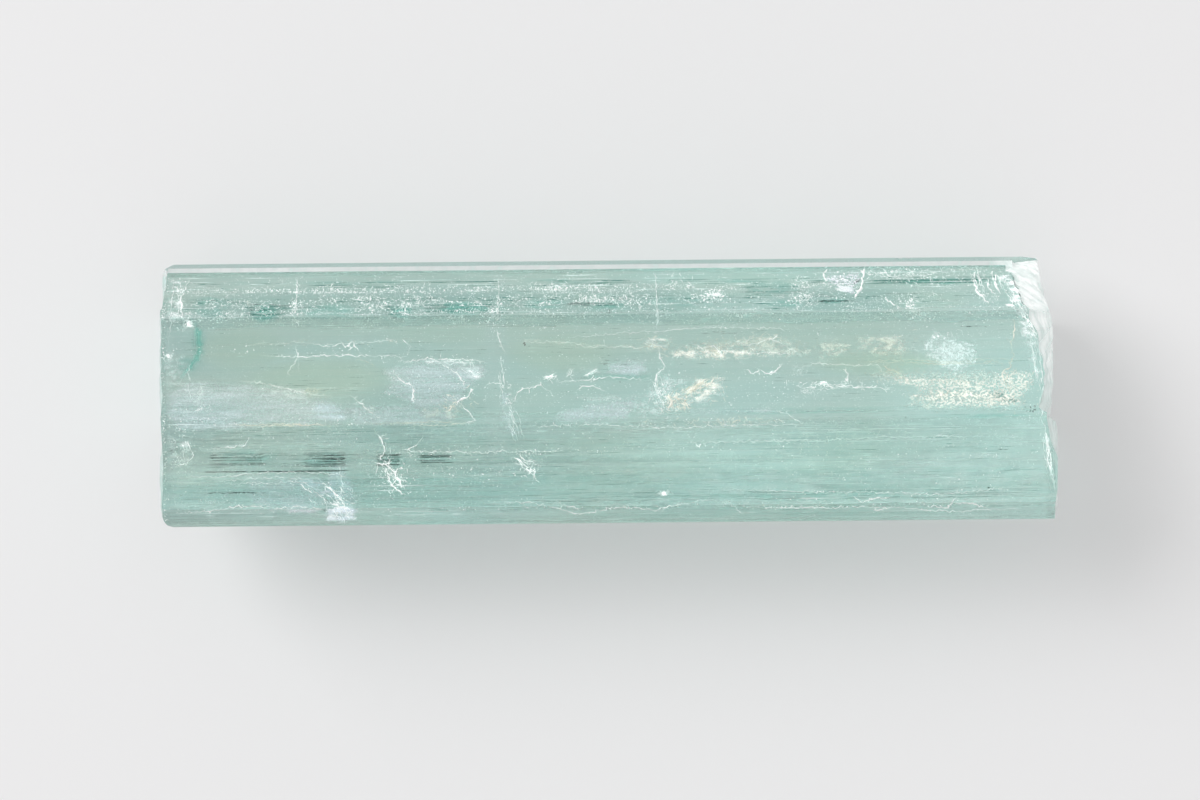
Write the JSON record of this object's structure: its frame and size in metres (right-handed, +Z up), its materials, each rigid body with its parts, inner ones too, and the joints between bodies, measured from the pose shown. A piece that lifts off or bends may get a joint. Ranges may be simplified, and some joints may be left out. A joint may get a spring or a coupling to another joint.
{
  "type": "aquamarine crystal",
  "caption": "Loose elongated aquamarine (blue-green beryl) crystal: a clear, striated hexagonal prism broken across at both ends, lying on a prism face.",
  "frame": {"origin": "middle of the crystal's bounding box in X and Y, at the level of the prism face that it rests on", "axes": "+X along the crystal towards the end with the shell-like break, +Z up, +Y towards the side with the wide sloping face"},
  "size_m": [0.03, 0.0088, 0.007],
  "materials": {
    "aquamarine": "clear pale blue-green beryl, satin and finely striated along the prism faces, frosted shell-like breaks at the ends, with pale healed veils and fine white cracks inside"
  },
  "bodies": {
    "root": {"aquamarine_crystal": "aquamarine"}
  },
  "joints": []
}
